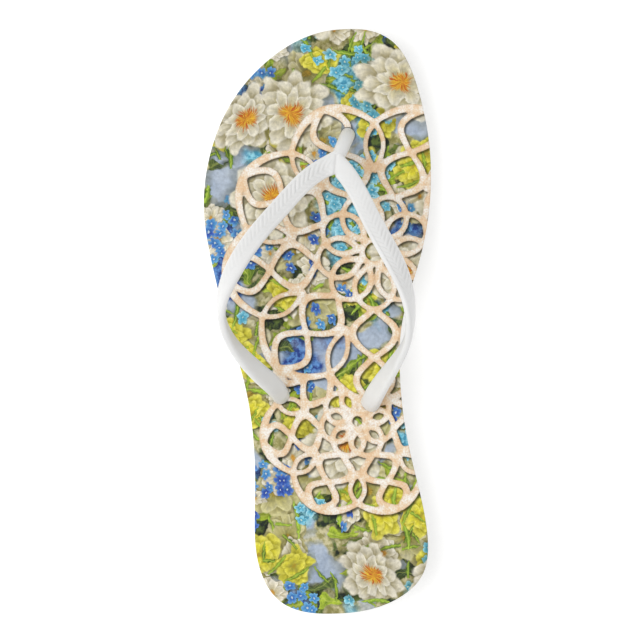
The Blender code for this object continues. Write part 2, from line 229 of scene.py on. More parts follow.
def mesh_object(name, points, faces):
    """A smooth-shaded mesh object from points in millimetres, its faces turned outwards."""
    mesh = bpy.data.meshes.new(name)
    mesh.from_pydata((np.asarray(points) * METRES_PER_MM).tolist(), [], faces)
    welded = bmesh.new()
    welded.from_mesh(mesh)
    bmesh.ops.remove_doubles(welded, verts=welded.verts, dist=WELD_DISTANCE)
    bmesh.ops.dissolve_degenerate(welded, edges=welded.edges, dist=WELD_DISTANCE)
    bmesh.ops.recalc_face_normals(welded, faces=welded.faces)
    welded.to_mesh(mesh)
    welded.free()
    mesh.shade_smooth()
    made = bpy.data.objects.new(name, mesh)
    bpy.context.collection.objects.link(made)
    return made


def slab(name, low, high, side, stations, columns_below, columns_above):
    """A slab inside the outline between two height functions, its edge shaped by the side rings."""
    points = []
    faces = []

    def add_net(inset, height, columns):
        start = len(points)
        outer, inner = outline_sides(inset, stations)
        share = np.linspace(0, 1, columns + 1)
        grid = outer[:, None, :] + (inner - outer)[:, None, :] * share[None, :, None]
        flat = grid.reshape(-1, 2)
        points.extend(zip(flat[:, 0], flat[:, 1], height(flat[:, 0], flat[:, 1])))
        return start + np.arange(len(flat)).reshape(grid.shape[:2])

    def edge_of(grid):
        return list(grid[:, 0]) + list(grid[-2:0:-1, -1])

    below = add_net(side[0].inset, low, columns_below)
    above = add_net(side[-1].inset, high, columns_above)
    rings = [edge_of(below)]
    for ring in side[1:-1]:
        outer, inner = outline_sides(ring.inset, stations)
        around = np.concatenate([outer, inner[-2:0:-1]])
        rings.append(list(range(len(points), len(points) + len(around))))
        bottom = low(around[:, 0], around[:, 1])
        top = high(around[:, 0], around[:, 1])
        points.extend(zip(around[:, 0], around[:, 1], bottom + ring.rise * (top - bottom)))
    rings.append(edge_of(above))
    for grid in (below, above):
        quads = np.stack([grid[:-1, :-1], grid[:-1, 1:], grid[1:, 1:], grid[1:, :-1]], axis=-1)
        faces.extend(quads.reshape(-1, 4).tolist())
    for lower, upper in zip(rings, rings[1:]):
        for here in range(len(lower)):
            after = (here + 1) % len(lower)
            faces.append((int(lower[here]), int(lower[after]), int(upper[after]), int(upper[here])))
    return mesh_object(name, points, faces)


def tube(name, rings):
    """A closed tube through rings of equal point counts."""
    count = len(rings[0])
    points = np.concatenate([np.asarray(ring) for ring in rings])
    faces = [tuple(range(count)), tuple(range(len(points) - count, len(points)))]
    for near in range(0, count * (len(rings) - 1), count):
        far = near + count
        for here in range(count):
            after = (here + 1) % count
            faces.append((near + here, near + after, far + after, far + here))
    return mesh_object(name, points, faces)


def turned(name, x, y, profile, segments):
    """A round solid about an upright axis, through (radius, height) pairs."""
    angles = np.linspace(0, math.tau, segments, endpoint=False)
    rings = [
        [(x + radius * math.cos(angle), y + radius * math.sin(angle), height) for angle in angles]
        for radius, height in profile
    ]
    return tube(name, rings)


def combine(target, others, operation):
    """Joins the others to the target, or cuts them from it, for good."""
    for other in others:
        step = target.modifiers.new(other.name, "BOOLEAN")
        step.operation = operation
        step.solver = "EXACT"
        step.object = other
    whole = bpy.data.meshes.new_from_object(target.evaluated_get(bpy.context.evaluated_depsgraph_get()))
    target.modifiers.clear()
    target.data = whole
    for other in others:
        bpy.data.objects.remove(other, do_unlink=True)


def soften(piece, degrees):
    """Smooth shading with edges kept sharp where faces turn by more than this angle."""
    piece.data.shade_smooth()
    piece.data.set_sharp_from_angle(angle=math.radians(degrees))


def tread_grooves():
    """The bowed grooves between the lugs, as cutters from below."""
    for first, last, count in (HEEL_GROOVES, BALL_GROOVES):
        for y_edge in np.linspace(first, last, count):
            rings = []
            for x in np.linspace(-GROOVE_REACH, GROOVE_REACH, GROOVE_STEPS + 1):
                y = y_edge + GROOVE_BOW * (1 - (x / GROOVE_REACH) ** 2)
                roof = underside(x, y) + GROOVE_DEPTH
                back = y - GROOVE_WIDTH / 2
                front = y + GROOVE_WIDTH / 2
                rings.append([(x, back, -OVERCUT), (x, front, -OVERCUT), (x, front, roof), (x, back, roof)])
            yield tube("groove", rings)


def drills():
    """Cutters for the three strap holes."""
    for hole in HOLES:
        x = hole.x + SHIFT
        radius = PEG_RADIUS + CLEARANCE
        top = footbed_top(x, hole.y) + OVERCUT
        yield turned("drill", x, hole.y, ((radius, -OVERCUT), (radius, top)), HOLE_SEGMENTS)


def recesses():
    """Cutters for the recess under each hole, where the strap's plug sits."""
    for hole in HOLES:
        x = hole.x + SHIFT
        radius = PLUG_RADIUS + CLEARANCE
        roof = underside(x, hole.y) + PLUG_SUNK + PLUG_THICKNESS + CLEARANCE
        yield turned("recess", x, hole.y, ((radius, -OVERCUT), (radius, roof)), HOLE_SEGMENTS)


def srgb(code):
    """The linear colour of an sRGB hex code."""
    shares = [int(code[start : start + 2], 16) / 255 for start in (0, 2, 4)]
    linear = [share / 12.92 if share <= 0.04045 else ((share + 0.055) / 1.055) ** 2.4 for share in shares]
    return (*linear, 1.0)


def node(tree, kind, *inputs, **named):
    """Adds one node: kind may end in an operation, and an input is a value, a socket or a node's first
    output. A name is a property of the node or, its spaces as underscores, one of its sockets."""
    kind, _, operation = kind.partition(":")
    made = tree.nodes.new(f"ShaderNode{kind}")
    if operation:
        made.operation = operation
    sockets = {}
    for name, value in named.items():
        if name == "stops":
            ramp = made.color_ramp.elements
            while len(ramp) < len(value):
                ramp.new(0.5)
            for element, (position, colour) in zip(ramp, value):
                element.position = position
                element.color = colour
        elif hasattr(made, name):
            setattr(made, name, value)
        else:
            sockets[made.inputs[name.replace("_", " ")]] = value
    sockets.update(zip([socket for socket in made.inputs if socket.enabled], inputs))
    for socket, value in sockets.items():
        if isinstance(value, bpy.types.Node):
            value = next(output for output in value.outputs if output.enabled)
        if isinstance(value, bpy.types.NodeSocket):
            tree.links.new(value, socket)
        else:
            socket.default_value = value
    return made


def material_tree(name):
    """A new material and its empty node tree."""
    material = bpy.data.materials.new(name)
    material.use_nodes = True
    tree = material.node_tree
    tree.nodes.clear()
    return material, tree


def place_on_piece(tree):
    """The place on the piece, in millimetres."""
    return node(tree, "VectorMath:SCALE", node(tree, "TexCoord").outputs["Object"], Scale=1 / METRES_PER_MM)


def looking(tree, start, full):
    """Rises from 0 to 1 as the upward share of the surface's normal goes from start to full."""
    normal = node(tree, "SeparateXYZ", node(tree, "NewGeometry").outputs["Normal"])
    return node(tree, "MapRange", normal.outputs[2], start, full, 0.0, 1.0)


# Cross-linked foam rubber, moulded: matt, slightly translucent, with closed cells that show as fine pits
# on the trimmed side, and fine zigzag ribs from the mould on the faces that meet the ground. The pits are
# really about 0.2 mm wide and are drawn coarser, so that they show.
PORE_SIZE = 0.9
PIT_DEPTH = 0.12
MOTTLE_SIZE = 14.0
RIB_SPACING = 1.6
RIB_DEPTH = 0.4
RIB_FLANK = (0.15 * RIB_SPACING, 0.35 * RIB_SPACING)
ZIGZAG_LENGTH = 4.0
ZIGZAG_REACH = 1.5
# The upward share of the normal where the ribs start, and where they are full.
DOWNWARD = (-0.85, -0.97)
# How deep light soaks into the foam.
FOAM_GLOW_DEPTH = 2.0
SOFT_ENDS = {"interpolation_type": "SMOOTHSTEP"}
foam, tree = material_tree("foam_rubber_moulded")
place = place_on_piece(tree)
pores = node(tree, "TexVoronoi", place, Scale=1 / PORE_SIZE, feature="SMOOTH_F1")
mottle = node(tree, "TexNoise", place, Scale=1 / MOTTLE_SIZE, Detail=3.0)
shade = node(
    tree, "ValToRGB", mottle.outputs[0], stops=[(0.35, srgb("CFCEC9")), (0.65, srgb("D8D7D2"))]
)
axes = node(tree, "SeparateXYZ", place)
zigzag = node(tree, "Math:PINGPONG", axes.outputs[0], ZIGZAG_LENGTH / 2)
line = node(tree, "Math:MULTIPLY_ADD", zigzag, 2 * ZIGZAG_REACH / ZIGZAG_LENGTH, axes.outputs[1])
ribs = node(tree, "Math:PINGPONG", line, RIB_SPACING / 2)
ribs = node(tree, "MapRange", ribs, *RIB_FLANK, 0.0, 1.0, **SOFT_ENDS)
ribs = node(tree, "Math:MULTIPLY", ribs, looking(tree, *DOWNWARD))
pits = node(
    tree, "Bump", Strength=0.35, Distance=PIT_DEPTH * METRES_PER_MM, Height=pores.outputs["Distance"]
)
ribbed = node(tree, "Bump", Strength=0.6, Distance=RIB_DEPTH * METRES_PER_MM, Height=ribs, Normal=pits)
skin = node(
    tree,
    "BsdfPrincipled",
    Base_Color=shade,
    Roughness=0.6,
    Normal=ribbed,
    Subsurface_Weight=0.15,
    Subsurface_Radius=(1.0, 0.9, 0.8),
    Subsurface_Scale=FOAM_GLOW_DEPTH * METRES_PER_MM,
    Specular_IOR_Level=0.35,
)
node(tree, "OutputMaterial", skin)

sole = slab("foam_sole", underside, sole_top, SOLE_SIDE, stations=168, columns_below=40, columns_above=12)
combine(sole, [*tread_grooves(), *drills(), *recesses()], "DIFFERENCE")
soften(sole, degrees=40)
sole.data.materials.append(foam)
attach(sole, "root")
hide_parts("sole")

# ---------------------------------------------------------------------------------------------------
# Footbed. A thin foam sheet faced with printed fabric, cut to the sole's outline and bonded on top;
# its upper edge is rolled over by the press.

FOOTBED_SIDE = (
    SideRing(rise=0.00, inset=0.3),
    SideRing(rise=0.12, inset=0.08),
    SideRing(rise=0.25, inset=0.0),
    SideRing(rise=0.60, inset=0.0),
    SideRing(rise=0.75, inset=0.08),
    SideRing(rise=0.88, inset=0.24),
    SideRing(rise=0.96, inset=0.48),
    SideRing(rise=1.00, inset=0.8),
)
PUCKER_DEPTH = 0.35
PUCKER_RADIUS = 5.0


def footbed_skin(x, y):
    """The footbed's top, drawn down a little round each strap hole."""
    height = footbed_top(x, y)
    for hole in HOLES:
        away = ((x - hole.x - SHIFT) ** 2 + (y - hole.y) ** 2) / PUCKER_RADIUS**2
        height = height - PUCKER_DEPTH * np.exp(-away)
    return height


def footbed_back(x, y):
    return footbed_top(x, y) - FOOTBED_THICKNESS


footbed = slab(
    "printed_footbed",
    footbed_back,
    footbed_skin,
    FOOTBED_SIDE,
    stations=400,
    columns_below=10,
    columns_above=132,
)
combine(footbed, list(drills()), "DIFFERENCE")
soften(footbed, degrees=40)

# The printed ornament: two doilies of bent bands, the second tucked under the first. Its bands are
# drawn from each mesh point's distance to the nearest band's middle line. A doily's fold is how often its
# motif repeats, and its turn is in degrees.
Doily = namedtuple("Doily", "x y size fold turn")
DOILIES = (
    Doily(x=24.0, y=30.0, size=66.0, fold=9, turn=8.0),
    Doily(x=14.0, y=-44.0, size=42.0, fold=7, turn=11.0),
)
# Radii are shares of the doily's size, breadths shares of the angle between two repeats, and a turn of
# 0.5 puts a motif halfway between two repeats. A band is wider by its swell at the middle of its length.
Loop = namedtuple("Loop", "inner outer breadth turn swell")
LOOPS = (
    Loop(inner=0.08, outer=0.33, breadth=0.34, turn=0.0, swell=0.2),
    Loop(inner=0.38, outer=0.70, breadth=0.38, turn=0.5, swell=0.9),
    Loop(inner=0.70, outer=1.00, breadth=0.20, turn=0.5, swell=0.7),
    Loop(inner=0.54, outer=0.86, breadth=0.12, turn=0.0, swell=-0.2),
)
Scallop = namedtuple("Scallop", "ends middle swell")
SCALLOPS = (
    Scallop(ends=0.33, middle=0.38, swell=0.0),
    Scallop(ends=0.86, middle=1.00, swell=1.3),
)
CENTRE_RING = 0.08
BAND_STEP = 0.25
BAND_WIDTH = 2.2
SHADOW_SHIFT = (0.65, -0.75)


def doily_lines(doily):
    """Points a short step apart along the middle of every band of one doily: x, y, and how much the band
    swells there."""
    share = np.linspace(0, 1, round(doily.size / BAND_STEP))
    bow = np.sin(math.pi * share)
    repeat = math.tau / doily.fold
    lines = []
    for number in range(doily.fold):
        for loop in LOOPS:
            radius = loop.inner + (loop.outer - loop.inner) * share
            for side in (-1, 1):
                angle = (number + loop.turn + side * loop.breadth * bow) * repeat
                lines.append((radius, angle, loop.swell * bow))
        for scallop in SCALLOPS:
            radius = scallop.ends + (scallop.middle - scallop.ends) * bow
            lines.append((radius, (number + share) * repeat, scallop.swell * bow))
        lines.append((np.full_like(share, CENTRE_RING), (number + share) * repeat, np.zeros_like(share)))
    radius, angle, swell = np.concatenate([np.stack(line) for line in lines], axis=1)
    angle = angle + math.radians(doily.turn)
    radius = radius * doily.size
    return np.stack([doily.x + radius * np.cos(angle), doily.y + radius * np.sin(angle), swell], axis=1)


def band_tree():
    """A search tree over the middle lines of all bands, without those tucked under the first doily, and the
    bands' swelling at each of its points."""
    over, under = DOILIES
    border = SCALLOPS[-1]
    tucked = doily_lines(under)
    out_x, out_y = tucked[:, 0] - over.x, tucked[:, 1] - over.y
    share = (np.arctan2(out_y, out_x) - math.radians(over.turn)) / (math.tau / over.fold)
    reach = border.ends + (border.middle - border.ends) * np.sin(math.pi * (share % 1))
    clear = np.hypot(out_x, out_y) > over.size * reach
    lines = np.concatenate([doily_lines(over), tucked[clear]])
    search = KDTree(len(lines))
    for number, (x, y, _) in enumerate(lines):
        search.insert((x, y, 0.0), number)
    search.balance()
    return search, lines[:, 2] / 2


def eased(mesh, values, rounds):
    """The values evened out between neighbouring points, which fills slits and rounds inner corners."""
    pairs = np.empty(2 * len(mesh.edges), int)
    mesh.edges.foreach_get("vertices", pairs)
    pairs = pairs.reshape(-1, 2)
    start, end = np.concatenate([pairs, pairs[:, ::-1]]).T
    neighbours = np.bincount(start, minlength=len(values))
    for _ in range(rounds):
        around = np.bincount(start, weights=values[end], minlength=len(values)) / neighbours
        values = (values + around) / 2
    return values


bands, swell = band_tree()
for name, (shift_x, shift_y) in (("band", (0.0, 0.0)), ("band_shadow", SHADOW_SHIFT)):
    values = np.zeros(len(footbed.data.vertices))
    for vertex in footbed.data.vertices:
        x, y = vertex.co.x / METRES_PER_MM - shift_x, vertex.co.y / METRES_PER_MM - shift_y
        _, nearest, away = bands.find((x, y, 0.0))
        values[vertex.index] = away - swell[nearest]
    attribute = footbed.data.attributes.new(name, "FLOAT", "POINT")
    attribute.data.foreach_set("value", eased(footbed.data, values, rounds=2))

# Knitted polyester, printed by heat transfer and bonded to foam: matt, its threads barely in relief.
# The threads are really 0.3 mm apart and are drawn at twice that, so that they show.
THREAD_SPACING = 0.6
THREAD_DEPTH = 0.12
printed_fabric, tree = material_tree("polyester_knit_printed")
place = place_on_piece(tree)

# The print is drawn on places that a brush has bent: a little by its short strokes and, for washes, leaves
# and large flowers, also by its wide sweeps. Dabs change the colour within a patch.
STROKE_SIZE = 1.6
SWEEP_SIZE = 8.0
DAB_SIZE = 3.2
Bend = namedtuple("Bend", "stroke sweep")
FINE = Bend(stroke=1.5, sweep=0.0)
DRAWN = Bend(stroke=0.8, sweep=4.5)
PAINTED = Bend(stroke=0.8, sweep=8.0)
strokes = node(tree, "TexNoise", place, noise_dimensions="2D", Scale=1 / STROKE_SIZE, Detail=2.0)
sweeps = node(tree, "TexNoise", place, noise_dimensions="2D", Scale=1 / SWEEP_SIZE, Detail=1.0)
dabs = node(tree, "TexNoise", place, noise_dimensions="2D", Scale=1 / DAB_SIZE, Detail=3.0, Roughness=0.6)
dabbed = node(tree, "MapRange", dabs.outputs[0], 0.4, 0.6, 0.0, 1.0)


def bent(tree, bend):
    """The fabric's own place in millimetres, as the brush has bent it."""
    moved = place
    for noise, reach in ((strokes, bend.stroke), (sweeps, bend.sweep)):
        if reach:
            moved = node(tree, "VectorMath:MULTIPLY_ADD", noise.outputs["Color"], (reach, reach, 0), moved)
    return moved


fine, drawn, painted = (bent(tree, bend) for bend in (FINE, DRAWN, PAINTED))

# Ground: a grey-blue wash. Where the garden isn't a clearing, it is painted over with a khaki and a dark
# green wash.
WASH_SIZE = 9.0
GARDEN_SIZE = 34.0
CLEARING = 0.365
Wash = namedtuple("Wash", "seed size start full colour other")
WASHES = (
    Wash(seed=3.0, size=30.0, start=0.38, full=0.46, colour="9F9A60", other="C6BE96"),
    Wash(seed=9.0, size=17.0, start=0.50, full=0.56, colour="202C24", other="56672F"),
)


def soil_at(tree, plot):
    """The garden's soil, a slow noise in three channels, at a place in shares of the garden's size."""
    garden = node(tree, "TexNoise", plot, noise_dimensions="2D", Scale=1.0, Detail=1.0)
    return node(tree, "SeparateColor", garden.outputs["Color"])


def painted_over(tree, colour, cover, row):
    """The colour under a patch of one kind, whose two colours the dabs mix."""
    blend = node(tree, "Mix", dabbed, srgb(row.colour), srgb(row.other), data_type="RGBA")
    return node(tree, "Mix", cover, colour, blend, data_type="RGBA")


wash = node(tree, "TexNoise", place, noise_dimensions="2D", Scale=1 / WASH_SIZE, Detail=4.0)
colour = node(tree, "ValToRGB", wash.outputs[0], stops=[(0.3, srgb("9DABBE")), (0.7, srgb("B3BECC"))])
soil = soil_at(tree, node(tree, "VectorMath:MULTIPLY", painted, (1 / GARDEN_SIZE, 1 / GARDEN_SIZE, 0)))
planted = node(tree, "MapRange", soil.outputs[2], CLEARING - 0.01, CLEARING + 0.03, 0.0, 1.0)
for row in WASHES:
    moved = node(tree, "VectorMath:MULTIPLY_ADD", painted, (1 / row.size,) * 3, (row.seed, row.seed, 0))
    spread = node(tree, "TexNoise", moved, noise_dimensions="2D", Scale=1.0, Detail=3.0, Roughness=0.6)
    cover = node(tree, "MapRange", spread.outputs[0], row.start, row.full, 0.0, 1.0)
    cover = node(tree, "Math:MULTIPLY", cover, planted)
    colour = painted_over(tree, colour, cover, row)

# Beds, painted where the soil suits the small flowers that stand close in them. A liking says how much the
# soil's first two channels count for a kind, and luck adds up to its own share.
LUCK = 0.12
Bed = namedtuple("Bed", "liking needs colour other")
BEDS = (
    Bed(liking=(-0.9, 0.6), needs=0.09, colour="4C9DBC", other="8CCADA"),
    Bed(liking=(0.4, -1.0), needs=-0.12, colour="2B468F", other="5E8CC8"),
)


def suited(tree, soil, row, luck):
    """How well the soil suits one kind, with its luck."""
    for channel, weight in enumerate(row.liking):
        luck = node(tree, "Math:MULTIPLY_ADD", soil.outputs[channel], weight, luck)
    return luck


for row in BEDS:
    cover = suited(tree, soil, row, LUCK / 2)
    cover = node(tree, "MapRange", cover, row.needs - 0.02, row.needs + 0.04, 0.0, 1.0)
    colour = painted_over(tree, colour, cover, row)

# Leaves and flowers stand in the cells of jittered nets, one net for each kind. Chance turns each one,
# narrows it, sizes it between the smallest share and a range more, and mixes its two sets of colours.
SEED_SLOPE = 2.3
NARROWING = 0.5
SMALLEST = 0.8
SIZE_RANGE = 0.35
TINT_CHANCE = 0.3
Cell = namedtuple("Cell", "local distance angle turn size tint grown")


def cells(tree, place, row):
    """A net of motifs: the place from each motif's middle, and whether its cell grows one, which takes
    soil that suits this kind and is no clearing."""
    rate = 1 / row.spacing
    aside = (row.seed, row.seed * SEED_SLOPE)
    scaled = node(tree, "VectorMath:MULTIPLY_ADD", place, (rate, rate, 0), (*aside, 0))
    net = node(tree, "TexVoronoi", scaled, voronoi_dimensions="2D", Scale=1.0, Randomness=row.scatter)
    middle = net.outputs["Position"]
    away = node(tree, "VectorMath:SUBTRACT", scaled, middle)
    chance = node(tree, "SeparateColor", net.outputs["Color"])
    turn = node(tree, "Math:MULTIPLY", chance.outputs[0], math.tau)
    local = node(tree, "VectorRotate", away, Angle=turn, rotation_type="Z_AXIS")
    squash = node(tree, "Math:MULTIPLY_ADD", chance.outputs[2], row.spacing * NARROWING, row.spacing)
    local = node(tree, "VectorMath:MULTIPLY", local, node(tree, "CombineXYZ", squash, row.spacing, 0.0))
    axes = node(tree, "SeparateXYZ", local)
    angle = node(tree, "Math:ARCTAN2", axes.outputs[1], axes.outputs[0])
    distance = node(tree, "VectorMath:LENGTH", local).outputs["Value"]
    share = row.spacing / GARDEN_SIZE
    back = (-share * aside[0], -share * aside[1], 0)
    root = node(tree, "VectorMath:MULTIPLY_ADD", middle, (share,) * 3, back)
    soil = soil_at(tree, root)
    luck = node(tree, "Math:MULTIPLY", chance.outputs[2], LUCK)
    suits = node(tree, "Math:SUBTRACT", suited(tree, soil, row, luck), row.needs)
    open_soil = node(tree, "Math:SUBTRACT", soil.outputs[2], CLEARING)
    grown = node(tree, "Math:GREATER_THAN", node(tree, "Math:MINIMUM", suits, open_soil), 0.0)
    size = node(tree, "Math:MULTIPLY_ADD", chance.outputs[1], SIZE_RANGE, SMALLEST)
    tint = node(tree, "Math:MULTIPLY_ADD", chance.outputs[1], TINT_CHANCE, soil.outputs[2])
    tint = node(tree, "MapRange", tint, 0.45, 0.85, 0.0, 1.0)
    return Cell(local, distance, angle, turn, size, tint, grown)


def laid(tree, below, above, mask, shadow, grown, shadow_colour):
    """The motif's colour over what is below it, with a soft shadow round the motif."""
    shade = node(tree, "Math:MULTIPLY", shadow, grown)
    darker = node(tree, "Mix", shade, below, srgb(shadow_colour), data_type="RGBA", blend_type="MULTIPLY")
    cover = node(tree, "Math:MULTIPLY", mask, grown)
    return node(tree, "Mix", cover, darker, above, data_type="RGBA")


LEAF_BOW = 1.2
LEAF_RIB_SPACING = 1.8
Leaf = namedtuple("Leaf", "spacing scatter seed liking needs length breadth ribs dark light vein shade")
LEAVES = (
    Leaf(
        spacing=9.0, scatter=1.0, seed=3.1, liking=(1.0, 0.0), needs=0.52, length=8.0, breadth=2.8,
        ribs=0.25, dark="3A4C30", light="73863A", vein="A4B05C", shade="7F8A68",
    ),
    Leaf(
        spacing=11.0, scatter=1.0, seed=7.7, liking=(1.0, 0.3), needs=0.62, length=9.0, breadth=2.4,
        ribs=0.25, dark="688428", light="A8BE34", vein="CCD866", shade="8A9668",
    ),
)
BLADES = (
    Leaf(
        spacing=9.0, scatter=1.0, seed=12.9, liking=(0.2, 1.0), needs=0.68, length=10.0, breadth=0.8,
        ribs=0.0, dark="46681E", light="84A42C", vein="B8CE4C", shade="98A478",
    ),
    Leaf(
        spacing=12.0, scatter=1.0, seed=17.3, liking=(-0.6, 0.6), needs=0.10, length=10.0, breadth=1.1,
        ribs=0.0, dark="4C7420", light="8CAE30", vein="C4D85C", shade="8C9C70",
    ),
)


def foliage(tree, colour, place, row):
    """The colour with one kind of leaf laid over it: bent blades with a spine and ribs."""
    cell = cells(tree, place, row)
    axes = node(tree, "SeparateXYZ", cell.local)
    along = node(tree, "Math:DIVIDE", axes.outputs[0], row.length)
    squared = node(tree, "Math:MULTIPLY", along, along)
    beside = node(tree, "Math:MULTIPLY_ADD", squared, LEAF_BOW, axes.outputs[1])
    across = node(tree, "Math:ABSOLUTE", beside)
    width = node(tree, "Math:MULTIPLY_ADD", squared, -row.breadth, row.breadth)
    reach = node(tree, "Math:DIVIDE", across, node(tree, "Math:MAXIMUM", width, 0.01))
    mask = node(tree, "MapRange", reach, 1.0, 0.7, 0.0, 1.0, **SOFT_ENDS)
    shadow = node(tree, "MapRange", reach, 1.0, 1.8, 0.45, 0.0, **SOFT_ENDS)
    slanted = node(tree, "Math:ADD", axes.outputs[0], across)
    ribs = node(tree, "Math:PINGPONG", slanted, LEAF_RIB_SPACING / 2)
    ribs = node(tree, "MapRange", ribs, 0.0, 0.5, row.ribs, 0.0)
    spine = node(tree, "MapRange", across, 0.1, 0.5, 0.6, 0.0)
    tint = node(tree, "Math:ADD", cell.tint, node(tree, "Math:MULTIPLY_ADD", dabs.outputs[0], 2.0, -1.0))
    fill = node(tree, "Mix", tint, srgb(row.dark), srgb(row.light), data_type="RGBA")
    veins = node(tree, "Math:MAXIMUM", ribs, spine)
    leaf = node(tree, "Mix", veins, fill, srgb(row.vein), data_type="RGBA")
    return laid(tree, colour, leaf, mask, shadow, cell.grown, row.shade)


# A petal's colours go from its foot over its body to its tip. A notch is how deep the outline falls in
# between two petals, and a larger point makes the petals' ends rounder.
WHORL_STEP = 0.2
WHORL_TURN = 1.0
FIRST_TURN = 0.3
Blossom = namedtuple(
    "Blossom",
    "spacing scatter seed liking needs radius petals whorls notch point"
    " petal other_petal shade heart_radius heart heart_rim",
)
BLOSSOMS = (
    Blossom(
        spacing=27.0, scatter=0.9, seed=4.4, liking=(1.0, 0.0), needs=0.50,
        radius=14.5, petals=6, whorls=2, notch=0.38, point=2.0,
        petal=("8C8850", "B4AE84", "D0CAAA"), other_petal=("9C9650", "BDB67A", "D4CE98"),
        shade="B4AE8C", heart_radius=2.0, heart="C9A23A", heart_rim="8A7A30",
    ),
    Blossom(
        spacing=15.0, scatter=0.9, seed=1.3, liking=(1.0, -0.3), needs=0.43,
        radius=8.0, petals=6, whorls=2, notch=0.42, point=2.0,
        petal=("AFA988", "D2CBB4", "E8E2D2"), other_petal=("BEB07C", "DCD2B4", "EEE8D6"),
        shade="B4AE94", heart_radius=1.2, heart="D8A53A", heart_rim="B5803A",
    ),
    Blossom(
        spacing=17.0, scatter=0.9, seed=5.9, liking=(0.3, 1.0), needs=0.73,
        radius=10.6, petals=5, whorls=3, notch=0.42, point=1.8,
        petal=("A39C3C", "CCC43C", "DAD34E"), other_petal=("C9B92E", "E0D73A", "E8E066"),
        shade="B0AE6C", heart_radius=1.2, heart="B98A24", heart_rim="A0A030",
    ),
)
FLORETS = (
    Blossom(
        spacing=5.4, scatter=0.8, seed=11.7, liking=(-0.9, 0.6), needs=0.07,
        radius=3.5, petals=5, whorls=1, notch=0.38, point=1.8,
        petal=("3F94B4", "62B6D2", "86CCDE"), other_petal=("3C9CBA", "8CD0E2", "B8E4EC"),
        shade="7FAEC4", heart_radius=0.5, heart="D8E8C8", heart_rim="9CC8D0",
    ),
    Blossom(
        spacing=5.0, scatter=0.8, seed=2.7, liking=(0.4, -1.0), needs=-0.14,
        radius=3.2, petals=5, whorls=1, notch=0.38, point=2.0,
        petal=("3F80C4", "5BA2D6", "7CBAE2"), other_petal=("263F94", "3C5FB6", "5F86CE"),
        shade="6E86B8", heart_radius=0.5, heart="D8E4D0", heart_rim="A8C0D8",
    ),
)
PEONIES = (
    Blossom(
        spacing=40.0, scatter=0.8, seed=8.2, liking=(0.8, 0.2), needs=0.51,
        radius=22.0, petals=8, whorls=3, notch=0.36, point=1.7,
        petal=("A39C74", "C8C0A4", "E4DECC"), other_petal=("A9A064", "CEC4A0", "EAE4D0"),
        shade="B8B294", heart_radius=5.2, heart="E0B432", heart_rim="BC5E22",
    ),
)


def bloom(tree, colour, place, row):
    """The colour with one kind of flower laid over it: whorls of petals from the outside in, each petal
    lit from one side and streaked along, then the frayed heart with its stamens."""
    cell = cells(tree, place, row)
    tint = node(tree, "Math:ADD", cell.tint, node(tree, "Math:MULTIPLY_ADD", dabs.outputs[0], 2.4, -1.2))
    for whorl in range(row.whorls):
        radius = row.radius * (1 - WHORL_STEP * whorl)
        first = whorl * WHORL_TURN + FIRST_TURN
        petal = node(tree, "Math:MULTIPLY_ADD", cell.angle, row.petals / math.pi, first)
        side = node(tree, "Math:PINGPONG", petal, 1.0)
        fall = node(tree, "Math:POWER", side, row.point)
        outline = node(tree, "Math:MULTIPLY_ADD", fall, -row.notch, 1.0)
        full = node(tree, "Math:MULTIPLY", node(tree, "Math:MULTIPLY", outline, cell.size), radius)
        reach = node(tree, "Math:DIVIDE", cell.distance, full)
        mask = node(tree, "MapRange", reach, 1.0, 0.9, 0.0, 1.0, **SOFT_ENDS)
        shadow = node(tree, "MapRange", reach, 1.0, 1.4, 0.5, 0.0, **SOFT_ENDS)
        streak_at = node(tree, "CombineXYZ", node(tree, "Math:MULTIPLY", petal, 2.5), reach, cell.turn)
        streaks = node(tree, "TexNoise", streak_at, Scale=1.6, Detail=2.0)
        fill, other_fill = (
            node(tree, "ValToRGB", reach, stops=list(zip((0.2, 0.6, 0.92), map(srgb, kind))))
            for kind in (row.petal, row.other_petal)
        )
        fill = node(tree, "Mix", tint, fill, other_fill, data_type="RGBA")
        turned_up = node(tree, "Math:FRACT", node(tree, "Math:MULTIPLY_ADD", petal, 0.5, 0.5))
        slope = node(tree, "MapRange", turned_up, 0.0, 1.0, 1.07, 0.86)
        light = node(tree, "MapRange", streaks.outputs[0], 0.3, 0.7, 0.88, 1.1)
        lit = node(tree, "HueSaturation", Value=node(tree, "Math:MULTIPLY", slope, light), Color=fill)
        colour = laid(tree, colour, lit, mask, shadow, cell.grown, row.shade)
    frayed = node(tree, "Math:MULTIPLY_ADD", streaks.outputs[0], row.heart_radius * 1.6, cell.distance)
    heart = node(tree, "MapRange", frayed, row.heart_radius * 1.9, row.heart_radius * 1.5, 0.0, 1.0)
    heart = node(tree, "Math:MULTIPLY", heart, cell.grown)
    stamens = node(tree, "MapRange", streaks.outputs[0], 0.42, 0.58, 0.0, 1.0)
    stamens = node(tree, "Mix", stamens, srgb(row.heart_rim), srgb(row.heart), data_type="RGBA")
    return node(tree, "Mix", heart, colour, stamens, data_type="RGBA")


for rows, draw, bend in (
    (LEAVES, foliage, painted),
    (BLOSSOMS, bloom, drawn),
    (BLADES, foliage, fine),
    (FLORETS, bloom, fine),
    (PEONIES, bloom, drawn),
):
    for row in rows:
        colour = draw(tree, colour, bend, row)
daub = node(tree, "MapRange", strokes.outputs[0], 0.25, 0.75, 0.9, 1.1)
glaze = node(tree, "MapRange", dabs.outputs[0], 0.25, 0.75, 0.92, 1.06)
colour = node(tree, "HueSaturation", Value=node(tree, "Math:MULTIPLY", daub, glaze), Color=colour)

